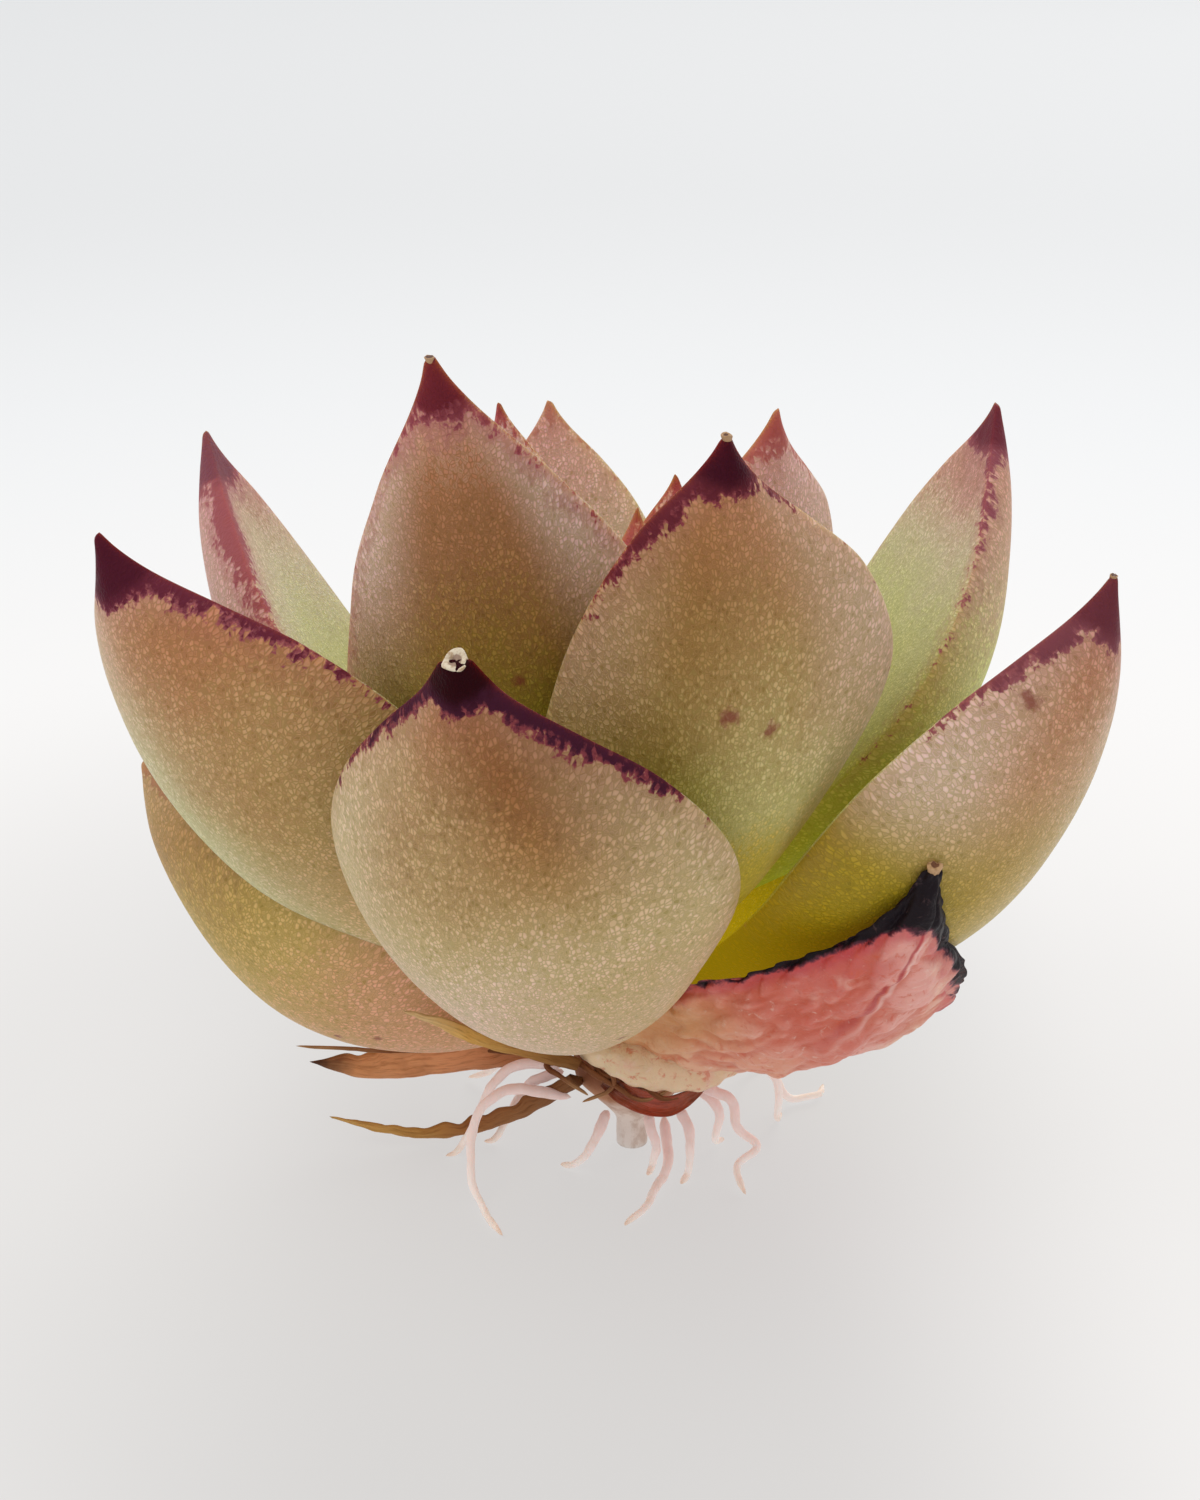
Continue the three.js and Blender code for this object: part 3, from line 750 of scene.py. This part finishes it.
def withered_material(leaf):
    material, tree, place = new_material("withered_skin")
    along, across, low_gap, high_gap, from_tip, off_centre = read_skin(tree, leaf)
    mottle = clouds(place, 520, 4, 0.6)
    drift = clouds(place, 150, 3)
    folds = clouds(place, 1500, 4, 0.65, 0.6)

    wander = stray(along, drift, 0.35)
    shade = ramp(wander, [
        (0, 0.84, 0.64, 0.4), (0.2, 0.86, 0.56, 0.36), (0.36, 0.84, 0.38, 0.24),
        (0.52, 0.78, 0.27, 0.19), (0.72, 0.68, 0.15, 0.11), (0.9, 0.58, 0.055, 0.05),
    ])
    far = stray(high_gap, drift, 5)
    shade = layered(shade, (far, 7.5, 3, 0.85, (0.88, 0.44, 0.37)), (far, 3, 0.5, 0.75, (0.9, 0.62, 0.42)))
    flushed = times(between(far, 4.5, 2), between(mottle, 0.5, 0.66), 0.4)
    shade = tint(flushed, shade, (0.7, 0.12, 0.14))
    # mottled; darker red in the hollows of the folds and along the creases, partly the withered skin's own
    # red and partly painted shade; paler on the ridges of the folds, painted highlights
    shade = layered(
        shade,
        (mottle, 0.5, 0.72, 0.5, (0.9, 0.52, 0.42)),
        (folds, 0.46, 0.34, 0.6, (0.68, 0.12, 0.06)),
        (read(tree, "relief"), 0.6, 0.15, 0.6, (0.62, 0.1, 0.04)),
        (folds, 0.6, 0.72, 0.5, (0.92, 0.68, 0.58)),
    )
    sheath = times(between(low_gap, 7, 2), between(along, 0.6, 0.4), 0.8)
    shade = tint(sheath, shade, (0.62, 0.3, 0.1))
    bent = stray(across, drift, 0.4)
    upper = between(along, 0.5, 0.76)
    for centre, width, strength, rib_shade in RIBS:
        rib = calc("ABSOLUTE", minus(bent, centre))
        rib = times(between(rib, width, width * 0.15, 0, strength), upper)
        shade = tint(rib, shade, rib_shade)

    inside = minus(4, calc("MULTIPLY_ADD", off_centre, 0.5, from_tip))
    for gap, reach, band in ((low_gap, 19, 0.95), (high_gap, 14, 1.8)):
        wedge = between(from_tip, 0, reach, band, 0.15, "LINEAR")
        inside = calc("MAXIMUM", inside, minus(wedge, gap))
    bite = stray(stray(inside, mottle, 1.6), folds, 0.8)
    shade = layered(
        shade,
        (bite, -1.1, 0.05, 0.65, (0.55, 0.035, 0.06)),
        (bite, -0.05, 0.2, 1, (0.11, 0.01, 0.028)),
    )
    burnt = between(bite, 0.1, 0.4)
    shade = tint(burnt, shade, (0.012, 0.007, 0.01))
    # painted sheen: paler on the ridges of the folds over the black tip
    shade = tint(times(burnt, between(folds, 0.6, 0.7, 0, 0.25)), shade, (0.2, 0.12, 0.12))
    dull = between(burnt, 0, 1, 0.4, 0.12)
    height = calc("MULTIPLY_ADD", folds, 0.6, times(mottle, 0.4))
    finish_material(tree, shade, (mottle, 0.36, 0.52), height, 0.26, Subsurface_Weight=0.15,
                    Subsurface_Radius=(1, 0.35, 0.2), Subsurface_Scale=0.8 * MM, Specular_IOR_Level=dull)
    return material


def withered_leaf():
    leaf = Leaf(0, WITHERED_OUTLINE, WITHERED_FOOT_DEPTH)
    form, places, keys = skin_form(120, 150, 1.1)
    for vert, (share, turn) in places.items():
        skin = Vector((math.cos(turn) * leaf.breadth(share), share * leaf.length, 3 * math.sin(turn)))
        folded = creased(Vector((skin.x * 0.3 + skin.y * 0.06, skin.y * 0.19, skin.z * 0.3)))
        crumpled = creased(Vector((skin.x * 0.8, skin.y * 0.5 - skin.x * 0.2, skin.z * 0.5 + 9)))
        swollen = noise.noise(Vector((skin.x * 0.3, skin.y * 0.2, 5)))
        fade = min(1, 6 * (1 - share)) * smoothstep(0, 0.3, share)
        relief = 0.6 * folded + 0.4 * crumpled
        puff = (relief - 0.7) * 0.7 * (0.4 + 0.6 * fade) + 0.5 * swollen * fade
        edge = noise.noise(Vector((share * 14, math.copysign(4, math.cos(turn)), 2)))
        spread = 1 + 0.05 * edge * abs(math.cos(turn))
        vert.co = leaf.at(share, turn, puff, spread) * MM
        vert[keys["breadth"]] = leaf.breadth(share)
        vert[keys["relief"]] = relief
    map_skin(form, places, leaf.width, leaf.length)
    skin = withered_material(leaf)
    keep(form, "withered_leaf_skin", skin, "withered_leaf", smoothing=1)
    withered_sheath(skin)
    return leaf


def withered_sheath(skin):
    """The withered leaf's swollen foot, coloured like the lowest part of the leaf."""
    def radius_at(share):
        return SHEATH_RADIUS + SHEATH_SWELL * math.sin(math.pi * share)

    form, places, keys, _ = strand_form(SHEATH, radius_at, 40, 60, seed=5, kink=0.1)
    for vert, (share, _) in places.items():
        vert[keys["along"]] = 0.02 + 0.16 * share
        vert[keys["across"]] = 0.1
        vert[keys["breadth"]] = 9
        vert[keys["relief"]] = 0.7
    keep(form, "withered_leaf_sheath", skin, smoothing=1)


# ---- Roots, papery leaves and fibres ----
def frame_at(line, share, turned=0):
    """Centre, side and up of a strand, turned about its own length."""
    centre, ahead = line.at(share)
    side = Vector((-ahead.y, ahead.x, 0))
    side = side.normalized() if side.length > 1e-6 else Vector((1, 0, 0))
    up = ahead.cross(side)
    angle = math.radians(turned)
    turned_side = side * math.cos(angle) + up * math.sin(angle)
    return centre, turned_side, up * math.cos(angle) - side * math.sin(angle)


def strand_form(path, radius_at, sides, rings, seed, kink=0):
    """A closed, slightly knotty strand along a path."""
    line = smooth_line(path)
    form, places, keys = skin_form(sides, rings)
    for vert, (share, turn) in places.items():
        centre, side, up = frame_at(line, share)
        wander = noise.noise_vector(Vector((share * line.length * 0.45, seed * 3.1, 0))) * kink
        wander.z = abs(wander.z)
        radius = radius_at(share)
        lumps = Vector((share * line.length * 1.6, math.cos(turn), seed + math.sin(turn)))
        knots = 1 + 0.16 * noise.noise(lumps)
        end = min(1, 12 * min(share, 1 - share) + 0.02) ** 0.5
        vert.co = (centre + wander * math.sin(math.pi * share)
                   + (side * math.cos(turn) + up * math.sin(turn)) * radius * knots * end) * MM
    return form, places, keys, line


def root_material():
    material, tree, place = new_material("root_skin")
    along = read(tree, "along")
    mottle = clouds(place, 900, 4, 0.6)
    length_streaks = clouds(stretch(place, (1, 1, 0.25)), 3000, 2)
    shade = ramp(along, [
        (0, 0.7, 0.48, 0.44), (0.4, 0.82, 0.64, 0.6), (0.8, 0.9, 0.8, 0.75),
        (0.95, 0.84, 0.68, 0.58), (1, 0.62, 0.42, 0.3),
    ])
    shade = layered(
        shade,
        (mottle, 0.5, 0.8, 0.4, (0.6, 0.42, 0.3)),
        (length_streaks, 0.5, 0.8, 0.4, (0.82, 0.7, 0.66)),
    )
    # the faint emission is a painted glow on the roots
    finish_material(tree, shade, (mottle, 0.4, 0.6), length_streaks, 0.04, Subsurface_Weight=0.5,
                    Subsurface_Radius=(1, 0.7, 0.6), Subsurface_Scale=0.8 * MM,
                    Emission_Color=(1, 0.84, 0.8, 1), Emission_Strength=0.14)
    return material


# Colours of the dried strips and fibres, from foot to end.
PAPERY_SHADES = {
    "papery_leaf_front": [(0, 0.18, 0.07, 0.02), (0.3, 0.45, 0.22, 0.06), (0.6, 0.78, 0.45, 0.12),
        (1, 0.88, 0.64, 0.34)],
    "papery_leaf_left": [(0, 0.4, 0.14, 0.05), (0.4, 0.8, 0.35, 0.16), (0.8, 0.72, 0.32, 0.13),
        (1, 0.12, 0.05, 0.025)],
    "papery_leaf_low": [(0, 0.22, 0.09, 0.035), (0.45, 0.36, 0.15, 0.05), (0.75, 0.55, 0.28, 0.07),
        (1, 0.78, 0.45, 0.14)],
    "papery_leaf_right": [(0, 0.22, 0.06, 0.025), (0.5, 0.5, 0.08, 0.035), (1, 0.34, 0.09, 0.04)],
    "crown_fibre": [(0, 0.22, 0.08, 0.03), (0.6, 0.28, 0.11, 0.045), (1, 0.55, 0.32, 0.15)],
}


def papery_material(name, shades, wet=False):
    material, tree, place = new_material(name + "_skin")
    along, across = read(tree, "along"), read(tree, "across")
    skin_map = skin_place(tree)
    fibres = clouds(stretch(skin_map, (5, 0.35, 1)), 1, 4, 0.7)
    blots = clouds(place, 380, 3)
    shade = ramp(stray(along, blots, 0.3), shades)
    dark = filtered(shade, (0.45, 0.34, 0.26))
    shade = layered(
        shade,
        (fibres, 0.45, 0.68, 0.6, dark),
        (blots, 0.55, 0.8, 0.6, dark),
        (calc("ABSOLUTE", across), 0.8, 1, 0.5, dark),
    )
    rough = (fibres, 0.2, 0.4) if wet else (fibres, 0.55, 0.8)
    finish_material(tree, shade, rough, fibres, 0.12,
                    Subsurface_Weight=0.1, Subsurface_Radius=(1, 0.5, 0.2), Subsurface_Scale=0.5 * MM,
                    Specular_IOR_Level=0.5 if wet else 0.12)
    return material


def papery_form(width, thickness, end, swell, turned, path, seed, curl=1.1):
    """A dried strip: curled across, torn along its edges and wavy along its length."""
    line = smooth_line(path)
    form, places, keys = skin_form(36, 90)
    for vert, (share, turn) in places.items():
        twist = 14 * noise.noise(Vector((share * 3, seed, 0)))
        centre, side, up = frame_at(line, share, turned + twist)
        half = width / 2 * (lerp(1, end, share) + swell * math.sin(math.pi * share))
        edge = Vector((share * line.length * 0.9, math.copysign(3, math.cos(turn)), seed))
        torn = 1 + 0.22 * noise.noise(edge)
        closing = min(1, 10 * (1 - share) + 0.05) ** 0.6
        reach = math.cos(turn) * torn * closing
        bend = curl * reach
        sideways = half * math.sin(bend) / curl
        lift = half * (1 - math.cos(bend)) / curl - 0.25 * half
        ripple = 0.12 * noise.noise(Vector((share * line.length * 0.7, reach * 2, seed + 5)))
        thin = thickness / 2 * (0.45 + 0.25 * noise.noise(Vector((share * 20, reach * 4, seed))))
        raised = lift + ripple + thin * math.sin(turn) * closing
        vert.co = (centre + side * sideways + up * raised) * MM
        vert[keys["breadth"]] = half
    map_skin(form, places, width, line.length)
    return form


# ---- Stem ----
def stem_material():
    material, tree, place = new_material("stem_bark")
    height = feed("ShaderNodeSeparateXYZ", {0: place}).outputs["Z"]
    flakes = clouds(stretch(place, (1, 1, 0.5)), 900, 5, 0.65)
    blots = clouds(place, 300, 3)
    wander = stray(height, blots, 0.004)
    bark = ramp(between(wander, 0, 0.022, kind="LINEAR"), [
        (0, 0.9, 0.82, 0.76), (0.12, 0.86, 0.72, 0.63), (0.22, 0.5, 0.24, 0.13),
        (0.32, 0.26, 0.09, 0.04), (0.46, 0.3, 0.12, 0.04), (0.6, 0.4, 0.34, 0.02),
        (1, 0.4, 0.38, 0.03),
    ])
    shade = layered(bark, (flakes, 0.45, 0.65, 0.6, filtered(bark, (0.62, 0.5, 0.42))))
    finish_material(tree, shade, (flakes, 0.55, 0.85), flakes, 0.15, Specular_IOR_Level=0.15)
    return material


def stem_piece():
    """A turned shoot with bark and a flat foot, ringed by the scars of lost leaves."""
    form = bmesh.new()
    heights = [0] + [STEM_TOP * step / 90 for step in range(91)]
    radii = [0] + [stem_radius(height) for height in heights[1:]]
    heights.append(STEM_TOP + STEM_CAP)
    radii.append(0)
    rail = [form.verts.new((radius * MM, 0, height * MM)) for radius, height in zip(radii, heights)]
    edges = [form.edges.new(pair) for pair in zip(rail, rail[1:])]
    bmesh.ops.spin(form, geom=rail + edges, cent=(0, 0, 0), axis=(0, 0, 1), angle=math.tau, steps=56,
                   use_merge=True)
    bmesh.ops.remove_doubles(form, verts=form.verts, dist=1e-7)
    for vert in form.verts:
        height, radius = vert.co.z / MM, vert.co.xy.length / MM
        if radius < 0.01 or height < SMOOTH_FOOT:
            continue
        angle = math.atan2(vert.co.y, vert.co.x)
        flaky = noise.noise(Vector((math.cos(angle) * 2, math.sin(angle) * 2, height * 0.9)))
        ring = math.sin(height * 3.4 + angle + 1.4 * flaky)
        swollen = 1 + 0.06 * flaky + 0.035 * max(0, ring) * smoothstep(3, 6, height)
        vert.co.xy *= swollen
    keep(form, "stem_bark", stem_material(), "stem")


# ---- Dried scars at the tips ----
def scar_material(name, pale, dark):
    material, tree, place = new_material(name)
    hollow = read(tree, "hollow")
    grain = clouds(place, 2600, 4, 0.7)
    shade = tint(between(grain, 0.42, 0.62, 0, 0.75), pale, (0.42, 0.24, 0.11))
    # darker in the hollow, painted shade, broken up by the grain
    shade = tint(between(calc("MULTIPLY_ADD", grain, 0.6, hollow), 0.55, 0.95), shade, dark)
    finish_material(tree, shade, (grain, 0.6, 0.85), grain, 0.12)
    return material


def tip_scar(leaf, seed, radius, height, depth, material, back=0.35, lean=(0, 0, 0)):
    """A short dried collar, set back over a leaf's tip, with a ragged hollow where a point broke off."""
    form = bmesh.new()
    hollow = form.verts.layers.float.new("hollow")
    bmesh.ops.create_cone(form, cap_ends=True, segments=20, radius1=radius * 0.8, radius2=radius,
                          depth=height)
    sides = [edge for edge in form.edges if abs(edge.verts[0].co.z - edge.verts[1].co.z) > height / 2]
    bmesh.ops.subdivide_edges(form, edges=sides, cuts=3)
    form.normal_update()
    top = [face for face in form.faces if face.normal.z > 0.9]
    bmesh.ops.inset_region(form, faces=top, thickness=radius * 0.42)
    top = [face for face in form.faces if face.normal.z > 0.9 and face.calc_center_median().xy.length < 1e-4]
    if depth > 0:
        bmesh.ops.inset_region(form, faces=top, thickness=radius * 0.18, depth=-depth)
    for face in top:
        for vert in face.verts:
            vert[hollow] = 1
    for vert in form.verts:
        rough = noise.noise_vector(vert.co * 2.2 + Vector((seed, 0, 0)))
        vert.co += rough * radius * 0.25
        if vert.co.z > 0:
            vert.co.z += radius * 0.5 * noise.noise(vert.co * 1.7 / radius + Vector((0, seed, 3)))
    point, ahead = leaf.tip()
    ahead = (ahead + Vector(lean)).normalized()
    turned = ahead.to_track_quat("Z", "Y").to_matrix().to_4x4()
    place = Matrix.Translation(point + ahead * (height / 2 - back)) @ turned
    bmesh.ops.transform(form, matrix=Matrix.Scale(MM, 4) @ place, verts=form.verts)
    keep(form, leaf.name + "_scar", material, smoothing=2)


# ---- The plant ----
def add_leaves():
    leaves = {"withered_leaf": withered_leaf()}
    for order in range(1, len(LEAVES)):
        leaf = living_leaf(order)
        leaves[leaf.name] = leaf
    cream = scar_material("cream_scar", (0.78, 0.67, 0.5), (0.36, 0.24, 0.17))
    brown = scar_material("brown_scar", (0.5, 0.3, 0.16), (0.12, 0.05, 0.03))
    tan = scar_material("tan_scar", (0.62, 0.38, 0.2), (0.2, 0.08, 0.04))
    for seed, (name, *shape) in enumerate([
        ("outer_leaf_front", 0.7, 0.7, 0.12, cream, 0.7, (-0.1, -0.5, 0.1)),
        ("middle_leaf_front", 0.32, 0.4, 0.05, brown),
        ("withered_leaf", 0.44, 0.7, 0.05, tan, 0.4),
        ("middle_leaf_front_left", 0.26, 0.35, 0, brown),
        ("outer_leaf_right", 0.22, 0.3, 0, brown),
    ]):
        tip_scar(leaves[name], seed + 1, *shape)


def add_roots():
    skin = root_material()
    for seed, (name, path) in enumerate(ROOTS.items()):
        form, *_ = strand_form(
            path, lambda share: lerp(ROOT_RADIUS, ROOT_TIP_RADIUS, share), 12, 64, seed, 0.35)
        keep(form, name + "_strand", skin, name)


def add_papery_leaves():
    for seed, (name, *shape) in enumerate(PAPERY_LEAVES):
        skin = papery_material(name, PAPERY_SHADES[name], name == "papery_leaf_right")
        keep(papery_form(*shape, seed), name + "_strip", skin, name)


def add_fibres():
    skin = papery_material("crown_fibre", PAPERY_SHADES["crown_fibre"])
    for seed, path in enumerate(FIBRES):
        form, places, _, line = strand_form(
            path, lambda share: lerp(FIBRE_RADIUS, FIBRE_TIP_RADIUS, share), 10, 50, seed + 30, 0.3)
        map_skin(form, places, 0.5, line.length)
        keep(form, f"crown_fibre_{seed + 1}", skin)


# ---- Floor, light and camera ----
# In metres and degrees.
FLOOR_HALF = 3
CAMERA_PLACE = (-0.00208, -0.1329, 0.08542)
CAMERA_TILT = 66.5
CAMERA_LENS = 57.6


def add_floor():
    """A pale floor, lit a little from within: paler further off and at the sides, painted light, and dimmer
    close to the plant, a painted shadow.
    """
    form = bmesh.new()
    bmesh.ops.create_grid(form, x_segments=1, y_segments=1, size=FLOOR_HALF)
    mesh = bpy.data.meshes.new("floor")
    form.to_mesh(mesh)
    form.free()
    floor = bpy.data.objects.new("floor", mesh)
    bpy.context.scene.collection.objects.link(floor)
    material, tree, place = new_material("pale_floor")
    away = feed("ShaderNodeVectorMath", {0: place}, operation="LENGTH").outputs["Value"]
    # painted shadow: a weaker glow close to the plant; painted light: a stronger glow at the sides
    paler = between(away, 0.04, 0.1, 0.57, 0.79)
    paler = minus(paler, between(away, 0.06, 0.35, 0, 0.14))
    across = feed("ShaderNodeSeparateXYZ", {0: place}).outputs["X"]
    sides = calc("ADD", between(across, 0.008, 0.035, 0, 0.16), between(across, -0.012, -0.04, 0, 0.08))
    paler = calc("MULTIPLY_ADD", sides, between(away, 0.1, 0.045), paler)
    warmth = tint(between(away, 0.05, 0.2), (1, 0.985, 0.975), (0.97, 0.985, 1))
    finish_shader(tree, Base_Color=(0.14, 0.138, 0.135, 1), Roughness=0.7, Specular_IOR_Level=0.1,
                  Emission_Color=warmth, Emission_Strength=paler)
    mesh.materials.append(material)


def add_softbox(name, place, aim, size, power, shade=(1, 1, 1)):
    light = bpy.data.lights.new(name, "AREA")
    light.shape = "DISK"
    light.size = size
    light.energy = power
    light.color = shade
    lamp = bpy.data.objects.new(name, light)
    lamp.location = place
    lamp.rotation_euler = (Vector(aim) - Vector(place)).to_track_quat("-Z", "Y").to_euler()
    bpy.context.scene.collection.objects.link(lamp)


def add_world(strength):
    world = bpy.data.worlds.new("studio")
    bpy.context.scene.world = world
    world.use_nodes = True
    world.node_tree.nodes["Background"].inputs[0].default_value = (0.97, 0.98, 1, 1)
    world.node_tree.nodes["Background"].inputs[1].default_value = strength


def add_camera():
    camera = bpy.data.cameras.new("camera")
    camera.lens = CAMERA_LENS
    camera.sensor_width = 36
    camera.clip_start = 0.005
    camera.clip_end = 20
    holder = bpy.data.objects.new("camera", camera)
    holder.location = CAMERA_PLACE
    holder.rotation_euler = (math.radians(CAMERA_TILT), 0, 0)
    bpy.context.scene.collection.objects.link(holder)
    bpy.context.scene.camera = holder


add_leaves()
add_roots()
add_papery_leaves()
add_fibres()
stem_piece()
add_floor()
add_world(0.62)
add_softbox("top_light", (-0.25, -0.1, 0.6), (0, 0, 0.02), 0.5, 1.6, (1, 0.98, 0.95))
add_softbox("back_light", (0.3, 0.6, 0.45), (0, 0.1, 0.02), 0.5, 2.4)
add_camera()
bpy.context.scene.view_settings.view_transform = "Standard"
